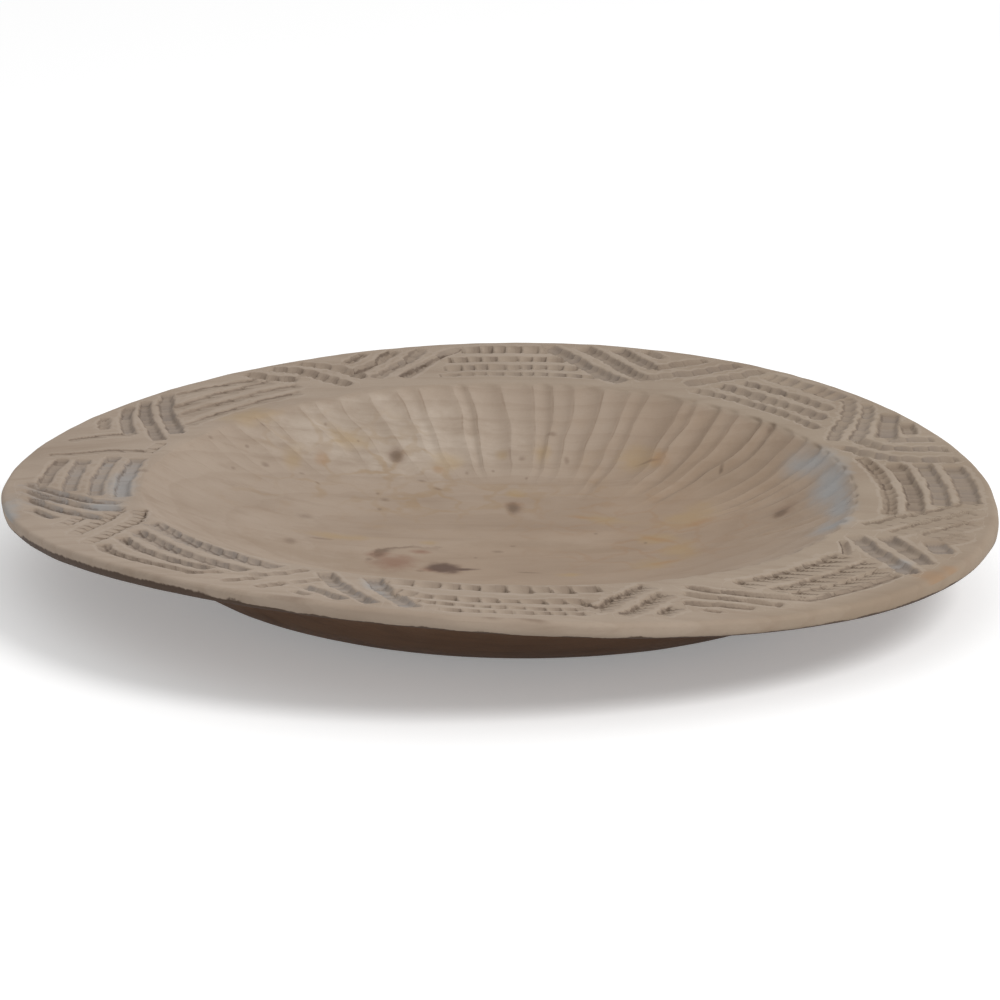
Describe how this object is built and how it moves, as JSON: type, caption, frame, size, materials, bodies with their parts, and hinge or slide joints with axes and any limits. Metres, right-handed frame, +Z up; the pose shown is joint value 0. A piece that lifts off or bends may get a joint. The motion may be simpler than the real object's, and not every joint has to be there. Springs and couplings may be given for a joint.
{
  "type": "carved wooden plate",
  "caption": "Shallow round plate carved from one piece of wood, with a broad flat rim of carved grooves and chevrons round a wide bowl.",
  "frame": {"origin": "on the plane of the foot, under the middle of the rim", "axes": "+Z up out of the bowl, +X along the grain, to the right when the plate is seen as in the picture, +Y away from the viewer"},
  "size_m": [0.4037, 0.402, 0.0482],
  "materials": {
    "carved_wood": "dry, unvarnished, smoothed by handling"
  },
  "bodies": {
    "root": {"carved_plate": "carved_wood"}
  },
  "joints": []
}
